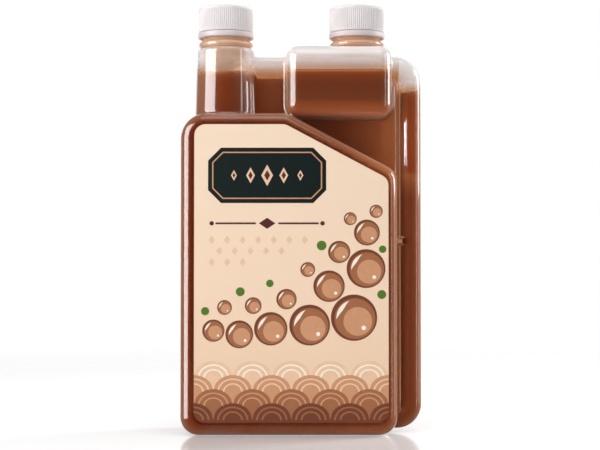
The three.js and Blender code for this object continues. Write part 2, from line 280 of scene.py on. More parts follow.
def column_field(x, y, z):
    around = np.hypot(x - fill_x, y)
    foot = BODY_TOP - COLUMN_SINK
    rise = np.clip((z - BODY_TOP) / (chamber_top - BODY_TOP), 0, 1)
    radius = COLUMN_FOOT_RADIUS + (COLUMN_TOP_RADIUS - COLUMN_FOOT_RADIUS) * rise
    return np.maximum(round_overlap(around - radius, z - chamber_top, COLUMN_SHOULDER), foot - z)


def chamber_field(x, y, z):
    return slab(x, y, z, CHAMBER, CHAMBER_DEPTH, CHAMBER_EDGE)


def pressed(x, y, z, field):
    """A field with the label recess on both faces and the push-up of the base pressed in."""
    inside_label = outline_distance(x, z, LABEL) - LABEL_CLEARANCE
    recess = np.maximum(inside_label, BODY_DEPTH / 2 - RECESS - np.abs(y))
    along = np.abs(x - (body_left + body_right) / 2) - (BODY_WIDTH / 2 - PUSH_UP_INSET)
    push_up = np.maximum(round_overlap(along, np.abs(y) - PUSH_UP_ACROSS, PUSH_UP_CORNER), z - PUSH_UP_HEIGHT)
    return soft_cut(soft_cut(field, recess, RECESS_BLEND), push_up, PUSH_UP_BLEND)


def main_field(x, y, z):
    """Body, middle web, bridge, column and tube, without the chamber."""
    body = slab(x, y, z, BODY, BODY_DEPTH, BODY_EDGE)
    middle = slab(x, y, z, MIDDLE, MIDDLE_DEPTH, MIDDLE_EDGE)
    bridge = slab(x, y, z, BRIDGE, MIDDLE_DEPTH, MIDDLE_EDGE)
    tube = np.hypot(line_distance(x, z, TUBE), y) - TUBE_RADIUS
    joined = soft_union(body, soft_union(middle, bridge, BRIDGE_BLEND), MIDDLE_BLEND)
    joined = soft_union(joined, column_field(x, y, z), COLUMN_BLEND)
    return pressed(x, y, z, soft_union(joined, tube, TUBE_BLEND))


def bottle_field(x, y, z):
    web = np.maximum(outline_distance(x, z, WEB), np.abs(y) - WEB_THICKNESS / 2)
    tab = slab(x, y, z, TAB, TAB_DEPTH, TAB_EDGE)
    form = soft_union(main_field(x, y, z), chamber_field(x, y, z), CHAMBER_BLEND)
    return soft_union(form, np.minimum(web, tab), WEB_BLEND)


SOAP_DEPTH = 1.02
MENISCUS = 1.9
BRIDGE_FALL = 2.4
BRIDGE_EASE = 1.5


def body_soap_field(x, y, z):
    room = np.maximum(main_field(x, y, z) + SOAP_DEPTH, -chamber_field(x, y, z))
    off_column = np.clip((np.hypot(x - fill_x, y) - COLUMN_TOP_RADIUS) / BRIDGE_EASE, 0, 1)
    level = np.where(x > middle_right + GROOVE / 2, tube_level, fill_level - BRIDGE_FALL * off_column)
    return np.maximum(room, z - level - MENISCUS * np.exp(np.minimum(room, 0)))


def dose_field(x, y, z):
    room = chamber_field(x, y, z) + SOAP_DEPTH
    return np.maximum(room, z - fill_level - MENISCUS * np.exp(np.minimum(room, 0)))


# Meshes from fields
def lines(*spans):
    """Grid lines over spans of (start, end, step), each span starting where the last ended."""
    parts = [np.linspace(a, b, max(2, round((b - a) / step) + 1))[:-1] for a, b, step in spans]
    return np.append(np.concatenate(parts), spans[-1][1])


def on_surface(field, points):
    """Points moved onto the zero of a field."""
    reach = 0.05
    for _ in range(2):
        here = field(*points.T)
        slope = np.stack([
            (field(*(points + reach * step).T) - here) / reach for step in np.eye(3)
        ], axis=1)
        steep = np.maximum((slope ** 2).sum(1), 0.25)
        points = points - np.clip(here / steep, -1, 1)[:, None] * slope
    return points


def surface_net(field, *grid):
    """Vertices and quads of the closed surface where a field is zero, on a grid of uneven lines."""
    shape = tuple(len(line) for line in grid)
    values = np.broadcast_to(field(*np.ix_(*grid)), shape)
    inside = values < 0
    cells = tuple(n - 1 for n in shape)
    total = np.zeros(cells + (3,))
    count = np.zeros(cells, int)
    crossings = []
    for axis in range(3):
        cut = [slice(None)] * 3
        cut[axis] = slice(0, -1)
        first = values[tuple(cut)]
        starts_in = inside[tuple(cut)]
        cut[axis] = slice(1, None)
        crossed = starts_in != inside[tuple(cut)]
        step = np.where(crossed, first - values[tuple(cut)], 1)
        share = np.where(crossed, first / step, 0)
        place = []
        for other in range(3):
            line = grid[other]
            if other == axis:
                spread = [1, 1, 1]
                spread[axis] = -1
                base, width = line[:-1].reshape(spread), np.diff(line).reshape(spread)
                place.append(base + width * share)
            else:
                spread = [1, 1, 1]
                spread[other] = -1
                place.append(np.broadcast_to(line.reshape(spread), share.shape))
        place = np.stack(place, axis=-1)
        b, c = (axis + 1) % 3, (axis + 2) % 3
        for db in (0, 1):
            for dc in (0, 1):
                part = [slice(None)] * 3
                part[b] = slice(db, cells[b] + db)
                part[c] = slice(dc, cells[c] + dc)
                hit = crossed[tuple(part)]
                total += np.where(hit[..., None], place[tuple(part)], 0)
                count += hit
        crossings.append((axis, crossed, starts_in))
    active = count > 0
    number = np.full(cells, -1)
    number[active] = np.arange(active.sum())
    points = on_surface(field, total[active] / count[active][:, None])
    quads = []
    for axis, crossed, starts_in in crossings:
        b, c = (axis + 1) % 3, (axis + 2) % 3
        where = np.argwhere(crossed)
        ring = []
        for db, dc in ((-1, -1), (0, -1), (0, 0), (-1, 0)):
            cell = where.copy()
            cell[:, b] += db
            cell[:, c] += dc
            ring.append(number[tuple(cell.T)])
        ring = np.stack(ring, axis=1)
        outward = starts_in[tuple(where.T)]
        quads.append(np.where(outward[:, None], ring, ring[:, ::-1]))
    return points, np.concatenate(quads)


def mesh_data(name, points, faces, smooth=True):
    """A mesh from points in millimetres."""
    mesh = bpy.data.meshes.new(name)
    mesh.from_pydata((np.asarray(points) * MM).tolist(), [], faces)
    mesh.polygons.foreach_set("use_smooth", [smooth] * len(mesh.polygons))
    mesh.update()
    return mesh


def linked(name, data):
    """An object of the scene that shows a mesh, a lamp or a camera."""
    obj = bpy.data.objects.new(name, data)
    bpy.context.scene.collection.objects.link(obj)
    return obj


# Grid lines, closer where the form turns
GRID_MARGIN = 1.5
FOOT_ZONE = 14
TAB_ZONE = (100, 112)
TOP_ZONE = 136
SOAP_COARSENESS = 1.45


def bottle_grid(scale):
    x = lines(
        (body_left - GRID_MARGIN, body_left + 12, 1.0 * scale),
        (body_left + 12, fill_x + 18, 1.6 * scale),
        (fill_x + 18, chamber_left - 3, 2.5 * scale),
        (chamber_left - 3, chamber_left + 11, 1.0 * scale),
        (chamber_left + 11, chamber_right - 10, 2.8 * scale),
        (chamber_right - 10, bottle_high[0] + GRID_MARGIN, 0.95 * scale),
    )
    y = lines((-BODY_DEPTH / 2 - GRID_MARGIN, BODY_DEPTH / 2 + GRID_MARGIN, 1.15 * scale))
    z = lines(
        (-GRID_MARGIN, FOOT_ZONE, 1.0 * scale),
        (FOOT_ZONE, TAB_ZONE[0], 3.2 * scale),
        (*TAB_ZONE, 1.0 * scale),
        (TAB_ZONE[1], TOP_ZONE, 2.4 * scale),
        (TOP_ZONE, chamber_top + 1.6, 0.95 * scale),
    )
    return x, y, z


def make_shell():
    """The blown wall: the outer form with its mouths opened, thickened inwards."""
    points, quads = surface_net(bottle_field, *bottle_grid(1))
    for x in (fill_x, dose_x):
        middles = points[quads].mean(axis=1)
        high = middles[:, 2] > chamber_top - 2 * WALL
        mouth = np.hypot(middles[:, 0] - x, middles[:, 1]) < NECK_BORE
        quads = quads[~(mouth & high)]
    used = np.unique(quads)
    renumber = np.zeros(len(points), int)
    renumber[used] = np.arange(len(used))
    mesh = mesh_data("bottle_shell", points[used], renumber[quads].tolist())
    shell = linked("bottle_shell", mesh)
    wall = shell.modifiers.new("wall", "SOLIDIFY")
    wall.thickness = WALL * MM
    wall.offset = -1
    return shell


def make_soap(name, field):
    points, quads = surface_net(field, *bottle_grid(SOAP_COARSENESS))
    return linked(name, mesh_data(name, points, quads.tolist()))


# Turned pieces
ROUND = 96


def ring_mesh(name, profile, x, base, segments=ROUND, shift=None):
    """A closed ring turned from a closed profile of (radius, height); shift moves a radius by angle."""
    profile = np.array(profile)
    angles = np.arange(segments) * 2 * np.pi / segments
    radius = np.repeat(profile[None, :, 0], segments, axis=0)
    if shift is not None:
        radius = radius + shift(angles[:, None], profile[None, :, 0], profile[None, :, 1])
    points = np.stack([
        x + radius * np.cos(angles)[:, None],
        radius * np.sin(angles)[:, None],
        np.broadcast_to(base + profile[None, :, 1], radius.shape),
    ], axis=-1).reshape(-1, 3)
    size = len(profile)
    i, j = np.meshgrid(np.arange(segments), np.arange(size), indexing="ij")
    i2, j2 = (i + 1) % segments, (j + 1) % size
    quads = np.stack([i * size + j, i2 * size + j, i2 * size + j2, i * size + j2], axis=-1).reshape(-1, 4)
    return linked(name, mesh_data(name, points, quads.tolist()))


def arc(radius, height, r, start, end, steps=6):
    angles = np.radians(np.linspace(start, end, steps + 1))
    return [(radius + r * math.cos(a), height + r * math.sin(a)) for a in angles]


def close_middle(obj):
    """Welds the points that a profile puts on the axis."""
    work = bmesh.new()
    work.from_mesh(obj.data)
    bmesh.ops.remove_doubles(work, verts=work.verts, dist=1e-6)
    bmesh.ops.dissolve_degenerate(work, edges=work.edges, dist=1e-7)
    work.to_mesh(obj.data)
    work.free()


cap_low, cap_high = (np.array(corner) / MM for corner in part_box("fill_cap"))
band_low, band_high = (np.array(corner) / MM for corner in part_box("fill_tamper_band"))
CAP_RADIUS = (cap_high[0] - cap_low[0]) / 2
CAP_BASE = cap_low[2] - chamber_top
CAP_TOP = cap_high[2] - chamber_top
CAP_BORE = 13.95
CAP_TOP_THICKNESS = 1.3
BAND_RADIUS = (band_high[0] - band_low[0]) / 2
BAND_BASE = band_low[2] - chamber_top
BAND_TOP = band_high[2] - chamber_top


def make_neck(name, x):
    """Neck finish: carrying bead, locking ring and threaded wall round an open bore."""
    bead = BEAD_HEIGHT / 2
    profile = [
        (NECK_BORE, -NECK_SINK),
        (NECK_ROOT_RADIUS, -NECK_SINK),
        (NECK_ROOT_RADIUS, BEAD_BASE),
        *arc(BEAD_RADIUS - bead, BEAD_BASE + bead, bead, -90, 90, 10),
        (NECK_ROOT_RADIUS, BEAD_BASE + BEAD_HEIGHT + BEAD_GAP),
        (NECK_ROOT_RADIUS, BAND_TOP - LOCK_HEIGHT),
        (LOCK_RADIUS, BAND_TOP - LOCK_HEIGHT / 2),
        (NECK_RADIUS, BAND_TOP),
        *arc(NECK_RADIUS - LIP_OUTER_EDGE, NECK_HEIGHT - LIP_OUTER_EDGE, LIP_OUTER_EDGE, 0, 90, 3),
        *arc(NECK_BORE + LIP_INNER_EDGE, NECK_HEIGHT - LIP_INNER_EDGE, LIP_INNER_EDGE, 90, 180, 3),
    ]
    neck = ring_mesh(name, profile, x, chamber_top)
    thread = thread_mesh(x)
    work = bmesh.new()
    work.from_mesh(neck.data)
    work.from_mesh(thread)
    work.to_mesh(neck.data)
    work.free()
    bpy.data.meshes.remove(thread)
    return neck


# Steps along a thread, and the part of its length, one in so many, over which an end runs out
THREAD_STEPS = 150
THREAD_RUN_OUT = 12


def thread_mesh(x):
    """Helical ridge on a neck, running out to nothing at both ends."""
    steps = THREAD_STEPS
    start = BAND_TOP + THREAD_START
    points = []
    for i in range(steps + 1):
        share = i / steps
        angle = 2 * math.pi * THREAD_TURNS * share
        height = start + THREAD_PITCH * THREAD_TURNS * share
        crest = THREAD_HEIGHT * min(1, THREAD_RUN_OUT * share, THREAD_RUN_OUT * (1 - share))
        section = (
            (-THREAD_SINK, -THREAD_FOOT),
            (crest, -THREAD_CREST),
            (crest, THREAD_CREST),
            (-THREAD_SINK, THREAD_FOOT),
        )
        for out, up in section:
            radius = NECK_RADIUS + out
            points.append((
                x + radius * math.cos(angle), radius * math.sin(angle), chamber_top + height + up
            ))
    faces = []
    for i in range(steps):
        for j in range(4):
            a, b = 4 * i + j, 4 * i + (j + 1) % 4
            faces.append((a, a + 4, b + 4, b))
    faces += [(0, 1, 2, 3), tuple(4 * steps + j for j in (3, 2, 1, 0))]
    return mesh_data("thread", points, faces)


# Ribs and edges of caps and bands, in millimetres apart from counts and the ribs' roundness
RIB_SAMPLES = 8
RIB_WALL = 0.45
RIB_SPREAD = 0.2
RIB_TOP = 1.1
RIB_FADE = 1.5
RIB_FOOT = 0.25
RIB_RISE = 0.3
RIB_ROUNDNESS = 0.8
CAP_EDGE = 1.7
CAP_WALL_ROWS = 14
DISH_RIM = 4.5
DISH_EDGE = 5.2
DISH_DEPTH = 0.18
BAND_CLEARANCE = 0.3
BAND_LOW_EDGE = 0.7
BAND_TOP_EDGE = 0.25


def rib_shift(angle, radius, height):
    """How far the rib pattern draws the cap's wall in."""
    wave = np.abs(np.sin(angle * RIBS / 2))
    outer = np.clip((radius - CAP_BORE - RIB_WALL) / RIB_SPREAD, 0, 1)
    up = np.clip((CAP_TOP - RIB_TOP - height) / RIB_FADE, 0, 1)
    down = np.clip((height - CAP_BASE - RIB_FOOT) / RIB_RISE, 0, 1)
    return -RIB_DEPTH * (1 - wave ** RIB_ROUNDNESS) * outer * up * down


def make_cap(name, x):
    wall_heights = np.linspace(CAP_BASE + RIB_FOOT, CAP_TOP - CAP_EDGE, CAP_WALL_ROWS)
    profile = [
        (0, CAP_TOP - CAP_TOP_THICKNESS),
        (CAP_BORE, CAP_TOP - CAP_TOP_THICKNESS),
        (CAP_BORE, CAP_BASE),
        (CAP_RADIUS - RIB_FOOT, CAP_BASE),
        *[(CAP_RADIUS, h) for h in wall_heights],
        *arc(CAP_RADIUS - CAP_EDGE, CAP_TOP - CAP_EDGE, CAP_EDGE, 10, 90, 8),
        (CAP_RADIUS - DISH_RIM, CAP_TOP),
        (CAP_RADIUS - DISH_EDGE, CAP_TOP - DISH_DEPTH),
        (0, CAP_TOP - DISH_DEPTH),
    ]
    cap = ring_mesh(name, profile[::-1], x, chamber_top, RIBS * RIB_SAMPLES, rib_shift)
    close_middle(cap)
    return cap


def make_band(name, x):
    bore = LOCK_RADIUS + BAND_CLEARANCE
    low, top = BAND_LOW_EDGE, BAND_TOP_EDGE
    profile = [
        (bore, BAND_BASE),
        *arc(BAND_RADIUS - low, BAND_BASE + low, low, -90, 0, 6),
        *arc(BAND_RADIUS - top, BAND_TOP - top, top, 0, 90, 3),
        (bore, BAND_TOP),
    ]
    return ring_mesh(name, profile, x, chamber_top)


# Materials
def feed(tree, socket, value):
    """Links a socket to another, or sets its value."""
    if isinstance(value, bpy.types.NodeSocket):
        tree.links.new(value, socket)
    else:
        socket.default_value = value


def add_node(tree, kind, inputs, settings):
    node = tree.nodes.new(kind)
    for key, value in settings.items():
        setattr(node, key, value)
    for key, value in (inputs or {}).items():
        feed(tree, node.inputs[key], value)
    return node


class Surface:
    """A material with short calls for adding and linking nodes."""

    def __init__(self, name):
        self.material = bpy.data.materials.new(name)
        self.material.use_nodes = True
        self.tree = self.material.node_tree
        self.shader = self.tree.nodes["Principled BSDF"]
        self.output = self.tree.nodes["Material Output"]
        self.place = self.add("ShaderNodeTexCoord").outputs["Object"]

    def add(self, kind, inputs=None, **settings):
        return add_node(self.tree, kind, inputs, settings)

    def feed(self, socket, value):
        feed(self.tree, socket, value)

    def set(self, **inputs):
        for key, value in inputs.items():
            self.feed(self.shader.inputs[key.replace("_", " ")], value)

    def noise(self, scale, detail=3.0):
        node = self.add("ShaderNodeTexNoise", {"Vector": self.place, "Scale": scale, "Detail": detail})
        return node.outputs["Fac"]

    def ramp(self, value, *stops):
        node = self.add("ShaderNodeValToRGB", {"Fac": value})
        band = node.color_ramp.elements
        while len(band) < len(stops):
            band.new(0.5)
        for element, (position, colour) in zip(band, stops):
            element.position = position
            element.color = colour
        return node.outputs["Color"]

    def bump(self, height, strength, distance):
        node = self.add("ShaderNodeBump", {"Height": height, "Strength": strength, "Distance": distance})
        self.feed(self.shader.inputs["Normal"], node.outputs["Normal"])


def srgb(red, green, blue):
    """A colour of 0 to 255 as linear light."""
    def linear(v):
        v /= 255
        return v / 12.92 if v <= 0.04045 else ((v + 0.055) / 1.055) ** 2.4
    return (linear(red), linear(green), linear(blue), 1)


def above_soap(s, span):
    """Height over the soap's level, as a share of a span in millimetres; the tube has a level of its own."""
    place = s.add("ShaderNodeSeparateXYZ", {"Vector": s.place})
    in_tube = s.add("ShaderNodeMath", {0: place.outputs["X"], 1: middle_right * MM}, operation="GREATER_THAN")
    level = s.add("ShaderNodeMapRange", {
        "Value": in_tube.outputs[0], "To Min": fill_level * MM, "To Max": tube_level * MM,
    })
    over = s.add("ShaderNodeMath", {0: place.outputs["Z"], 1: level.outputs["Result"]}, operation="SUBTRACT")
    share = s.add("ShaderNodeMapRange", {"Value": over.outputs[0], "From Max": span * MM})
    return share.outputs["Result"]


# Shares of the column's radius
TINT_OUTER = 0.85
TINT_INNER = 0.5


def near_column(s):
    """One in the middle of the filling column, falling to nothing before its edge."""
    place = s.add("ShaderNodeSeparateXYZ", {"Vector": s.place})
    aside = s.add("ShaderNodeMath", {0: place.outputs["X"], 1: fill_x * MM}, operation="SUBTRACT")
    reach = s.add("ShaderNodeMath", {0: aside.outputs[0]}, operation="ABSOLUTE")
    radius = COLUMN_TOP_RADIUS * MM
    share = s.add("ShaderNodeMapRange", {
        "Value": reach.outputs[0], "From Min": TINT_OUTER * radius, "From Max": TINT_INNER * radius,
    })
    return share.outputs["Result"]


def let_light_through(s, tone):
    """Lets lamps and bounced light reach what stands behind a clear wall."""
    path = s.add("ShaderNodeLightPath")
    lets_light = s.add("ShaderNodeMath", {
        0: path.outputs["Is Shadow Ray"], 1: path.outputs["Is Diffuse Ray"],
    }, operation="MAXIMUM")
    through = s.add("ShaderNodeBsdfTransparent", {"Color": tone})
    mix = s.add("ShaderNodeMixShader", {
        0: lets_light.outputs[0], 1: s.shader.outputs["BSDF"], 2: through.outputs["BSDF"],
    })
    s.feed(s.output.inputs["Surface"], mix.outputs["Shader"])


MILKY_EDGE = 0.45
MILKY_DRY = 0.35
TINT_REACH = 14
DRY_REACH = 9


def clear_plastic():
    """Blown wall, milky where it is dry or seen edge-on, and tinted peach up to the soap's level, the tint
    fading out over a span above it.
    """
    s = Surface("clear_plastic")
    # Peach tint of the wall up to the soap's level, fading to white over a span above it
    level_tint = s.ramp(
        above_soap(s, TINT_REACH),
        (0, srgb(222, 182, 150)),
        (0.2, srgb(232, 208, 192)),
        (0.4, srgb(248, 243, 242)),
        (1, srgb(253, 252, 252)),
    )
    tint = s.add("ShaderNodeMix", {
        "Factor": near_column(s), 6: level_tint, 7: srgb(230, 204, 186),
    }, data_type="RGBA")
    facing = s.add("ShaderNodeLayerWeight", {"Blend": 0.5}).outputs["Facing"]
    edge = s.add("ShaderNodeMapRange", {"Value": facing, "To Min": 1.0, "To Max": 1 - MILKY_EDGE})
    dry = s.add("ShaderNodeMapRange", {"Value": above_soap(s, DRY_REACH), "To Max": MILKY_DRY})
    clear = s.add("ShaderNodeMath", {
        0: edge.outputs["Result"], 1: dry.outputs["Result"],
    }, operation="SUBTRACT")
    clear.use_clamp = True
    s.set(Base_Color=tint.outputs[2], Roughness=0.12, IOR=1.49, Transmission_Weight=clear.outputs[0])
    s.set(Coat_Weight=1.0, Coat_Roughness=0.03)
    s.bump(s.noise(55, 2), 0.05, 0.002)
    let_light_through(s, srgb(246, 240, 236))
    return s.material


def neck_plastic():
    s = Surface("neck_plastic")
    tint = s.ramp(s.noise(60, 3), (0.3, srgb(244, 198, 162)), (0.7, srgb(250, 214, 186)))
    s.set(Base_Color=tint, Roughness=0.18, IOR=1.49, Transmission_Weight=0.4)
    s.set(Coat_Weight=1.0, Coat_Roughness=0.03)
    let_light_through(s, srgb(246, 236, 228))
    return s.material


# Depths and heights in millimetres of the soap's tones, painted glow and painted highlight, and the share
# that low tones reach, which keeps the painted highlight off low parts
LEVEL_GLOW_DEPTH = 6
DOSE_DEPTH = 24
WEB_START = 11
TUBE_TONE_LOW = 130
TUBE_TONE_HIGH = 150
LOWER_TONE = 0.6


def soap_surface(name):
    """Dark liquid that scatters a little light."""
    s = Surface(name)
    s.set(Roughness=0.4, Specular_IOR_Level=0.05, Subsurface_Weight=0.3)
    s.shader.inputs["Subsurface Radius"].default_value = (0.006, 0.002, 0.0008)
    return s


def depth_share(s, span):
    """Share of a depth in millimetres: nothing that far down, one at the soap's level."""
    return s.add("ShaderNodeMath", {0: 1.0, 1: above_soap(s, -span)}, operation="SUBTRACT").outputs[0]


def grey(level):
    return (level, level, level, 1)


def body_soap_liquid():
    """Soap of the body, with tones across it that differ in the column, the web and the tube, a painted veil
    of reflection on the bridge, a painted highlight near the web's right edge, and a painted glow at its
    level.
    """
    s = soap_surface("body_soap_liquid")
    # Painted glow: the soap turns lighter towards its level, standing in for light coming through it where it
    # is thin
    level_glow = s.ramp(
        depth_share(s, LEVEL_GLOW_DEPTH), (0, grey(0)), (0.6, grey(0.1)), (0.9, grey(0.4)), (1, grey(1)),
    )
    place = s.add("ShaderNodeSeparateXYZ", {"Vector": s.place})
    across = s.add("ShaderNodeMapRange", {
        "Value": place.outputs["X"], "From Min": (fill_x + WEB_START) * MM, "From Max": bottle_high[0] * MM,
    })
    upper = s.add("ShaderNodeMapRange", {
        "Value": place.outputs["Z"],
        "From Min": TUBE_TONE_LOW * MM,
        "From Max": TUBE_TONE_HIGH * MM,
        "To Min": LOWER_TONE,
    })
    share = s.add("ShaderNodeMath", {
        0: across.outputs["Result"], 1: upper.outputs["Result"],
    }, operation="MINIMUM")
    # Tones across: the column's brown, greyer on the bridge as a painted veil of reflection, a painted
    # highlight near the web's right edge, then the tube; below the tone heights the share stops short of the
    # painted highlight
    tone = s.ramp(
        share.outputs[0],
        (0, srgb(134, 63, 25)),
        (0.15, srgb(142, 84, 56)),
        (0.55, srgb(148, 82, 46)),
        (0.84, srgb(188, 122, 80)),
        (0.9, srgb(166, 88, 42)),
    )
    mix = s.add("ShaderNodeMix", {"Factor": level_glow, 6: tone, 7: srgb(194, 138, 102)}, data_type="RGBA")
    s.set(Base_Color=mix.outputs[2])
    return s.material


def dose_soap_liquid():
    """Soap of the chamber, with painted light by depth: orange at the bottom where light comes through the
    chamber's lower edge, darker in the middle, and a painted glow towards the level.
    """
    s = soap_surface("dose_soap_liquid")
    # Painted light: orange at the chamber's bottom for light coming through its lower edge, and a painted
    # glow near the soap's level
    s.set(Base_Color=s.ramp(
        depth_share(s, DOSE_DEPTH),
        (0, srgb(190, 96, 46)),
        (0.16, srgb(180, 104, 62)),
        (0.36, srgb(128, 74, 48)),
        (0.7, srgb(124, 68, 42)),
        (0.88, srgb(140, 76, 44)),
        (0.96, srgb(158, 90, 48)),
        (1, srgb(194, 138, 102)),
    ))
    return s.material


def cap_plastic(name, low, high):
    s = Surface(name)
    tone = s.ramp(s.noise(140, 4), (0.3, low), (0.7, high))
    rough = s.add("ShaderNodeMapRange", {"Value": s.noise(900, 2), "To Min": 0.32, "To Max": 0.44})
    s.set(Base_Color=tone, Roughness=rough.outputs["Result"], Specular_IOR_Level=0.3)
    s.bump(s.noise(1600, 3), 0.04, 0.0002)
    return s.material


def wad_foam():
    s = Surface("wad_foam")
    tone = s.ramp(s.noise(1500, 4), (0.35, srgb(228, 225, 219)), (0.65, srgb(247, 245, 240)))
    s.set(Base_Color=tone, Roughness=0.8)
    s.bump(s.noise(2400, 2), 0.3, 0.0002)
    return s.material


def film(name, tone):
    """Printed film: a tone with a trace of mottle under a satin varnish."""
    s = Surface(name)
    mottle = s.noise(320, 5)
    light = tuple(min(1, c * 1.03) for c in tone[:3]) + (1,)
    dark = tuple(c * 0.965 for c in tone[:3]) + (1,)
    s.set(Base_Color=s.ramp(mottle, (0.3, dark), (0.7, light)), Roughness=0.42)
    s.bump(s.noise(700, 3), 0.03, 0.0002)
    return s.material


def label_film():
    s = Surface("label_film")
    height = s.add("ShaderNodeSeparateXYZ", {"Vector": s.place}).outputs["Z"]
    share = s.add("ShaderNodeMapRange", {
        "Value": height, "From Min": label_low[2] * MM, "From Max": label_high[2] * MM,
    }).outputs["Result"]
    tone = s.ramp(share, (0, srgb(238, 203, 169)), (0.45, srgb(245, 216, 188)), (1, srgb(247, 222, 196)))
    s.set(Base_Color=tone, Roughness=0.42)
    s.bump(s.noise(700, 3), 0.03, 0.0002)
    return s.material


# Printed design in millimetres on the label's face: a cartouche, bubbles and rows of scallops
INK_STEP = 0.022
INK_SHARE = 0.8
SCALLOPS_ACROSS = 5
SCALLOP_RISE = 0.86
FIRST_ROW = 1.15
ROW_STEP = 0.36
ARCHES = (0.8, 0.52)
SCALLOP_STEPS = 24
ARCH_THICKNESS = 0.9
BUBBLES = [
    (-48, 57, 6), (-34, 55, 7.5), (-42, 69.5, 4), (-17, 58, 9), (-26.5, 70.5, 4.5),
    (4, 60, 11), (-8.5, 74, 5.5), (28, 64, 12.5), (14.5, 81, 8.5), (34.5, 90.5, 10.5),
    (20, 99.5, 6), (35, 110, 7), (26, 117.5, 3.5), (40, 121.5, 3.6), (3, 90, 4),
]
BEADS = [
    (-52.5, 67.5, 2.2), (-33.5, 78, 2.4), (-17.5, 82.5, 2), (10.5, 103, 2.6), (43, 76.5, 2.4), (43.5, 101, 2),
]
CARTOUCHE = (-51, 126, 13, 156)
CARTOUCHE_CUT = 7
CUT_PER_INSET = 0.59
LOZENGE_STEP = 9
RULE_HEIGHT = 115
RULE_HALF = 0.5
RULE_GAP = 6
RULE_CORNER = 0.4
LATTICE_ROWS = 3
LATTICE_STEP = 8.4
LATTICE_DROP = 9
LATTICE_RISE = 6

CREAM = (252, 238, 220)
PALE_TAN = (236, 198, 164)
TAN = (208, 150, 111)
LIGHT_BROWN = (166, 104, 66)
BROWN = (122, 62, 36)
TEAL = (6, 28, 28)
RED_BROWN = (94, 32, 28)
GREEN = (84, 124, 32)


def disc(x, z, radius, steps=56):
    angles = np.arange(steps) * 2 * np.pi / steps
    return np.stack([x + radius * np.cos(angles), z + radius * np.sin(angles)], axis=1)


def lozenge(x, z, width, height):
    return np.array([(x - width / 2, z), (x, z - height / 2), (x + width / 2, z), (x, z + height / 2)])


def octagon(left, bottom, right, top, cut):
    return np.array([
        (left + cut, bottom), (right - cut, bottom), (right, bottom + cut), (right, top - cut),
        (right - cut, top), (left + cut, top), (left, top - cut), (left, bottom + cut),
    ])


def crescent(x, z, radius, start, end, thickness, steps=18):
    """A highlight along part of a circle, thin at its ends."""
    angles = np.radians(np.linspace(start, end, steps))
    swell = np.sin(np.linspace(0, np.pi, steps)) * thickness
    outer = np.stack([x + radius * np.cos(angles), z + radius * np.sin(angles)], axis=1)
    inner = np.stack([x + (radius - swell) * np.cos(angles), z + (radius - swell) * np.sin(angles)], axis=1)
    return np.concatenate([outer, inner[::-1][1:-1]])


def scallop_ground(level, width, shift):
    """The ground under a row of arches."""
    x = np.arange(label_low[0] - width, label_high[0] + width, width / SCALLOP_STEPS)
    aside = (x - shift) % width - width / 2
    z = level + SCALLOP_RISE * np.sqrt(np.maximum((width / 2) ** 2 - aside ** 2, 0))
    edge = np.stack([x, z], axis=1)
    return np.concatenate([[(x[0], 0), (x[-1], 0)], edge[::-1]])


def arch_line(x, z, radius, steps=32):
    """A line of even thickness along an arch."""
    angles = np.linspace(0, np.pi, steps)
    ring = np.stack([np.cos(angles), SCALLOP_RISE * np.sin(angles)], axis=1)
    return np.concatenate([(x, z) + radius * ring, ((x, z) + (radius - ARCH_THICKNESS) * ring)[::-1]])


def clipped(points, fence):
    """A polygon cut to a convex anticlockwise fence."""
    result = [tuple(p) for p in points]
    for (ax, az), (bx, bz) in zip(fence, np.roll(fence, -1, axis=0)):
        kept = []

        def side(p):
            return (bx - ax) * (p[1] - az) - (bz - az) * (p[0] - ax)

        for here, after in zip(result, result[1:] + result[:1]):
            s_here, s_after = side(here), side(after)
            if s_here >= 0:
                kept.append(here)
            if s_here * s_after < 0:
                t = s_here / (s_here - s_after)
                kept.append((here[0] + t * (after[0] - here[0]), here[1] + t * (after[1] - here[1])))
        result = kept
        if not result:
            break
    return np.array(result)


def print_piece(name, level, shapes, tone):
    """Flat printed shapes of one ink as thin closed plates in front of the label."""
    front = label_low[1] - INK_STEP * level
    back = front + INK_SHARE * INK_STEP
    points, faces = [], []
    for shape in shapes:
        flat = clipped(shape, LABEL)
        if len(flat) < 3:
            continue
        first, size = len(points), len(flat)
        points += [(x, front, z) for x, z in flat] + [(x, back, z) for x, z in flat]
        faces.append([first + i for i in range(size)])
        faces.append([first + size + i for i in reversed(range(size))])
        for i in range(size):
            j = (i + 1) % size
            faces.append([first + j, first + i, first + size + i, first + size + j])
    mesh = mesh_data(name, points, faces, smooth=False)
    mesh.materials.append(film("ink_" + name, srgb(*tone)))
    piece = linked(name, mesh)
    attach(piece, "bottle")


def print_scallops():
    """Rows of scallops at the label's foot, each in front of the row above it."""
    width = (label_high[0] - label_low[0]) / SCALLOPS_ACROSS
    rows = ((PALE_TAN, CREAM), (TAN, PALE_TAN), (LIGHT_BROWN, TAN), (BROWN, LIGHT_BROWN))
    for row, (ground, line) in enumerate(rows):
        level = label_low[2] + width * (FIRST_ROW - ROW_STEP * row)
        shift = width / 2 * (row % 2)
        middles = label_low[0] + shift + width * (np.arange(-1, SCALLOPS_ACROSS + 1) + 0.5)
        number = str(row + 1)
        ground_shape = scallop_ground(level, width, label_low[0] + shift)
        print_piece("print_scallops_" + number, 2 * row + 1, [ground_shape], ground)
        print_piece("print_arches_" + number, 2 * row + 2, [
            arch_line(x, level, width / 2 * share) for x in middles for share in ARCHES
        ], line)


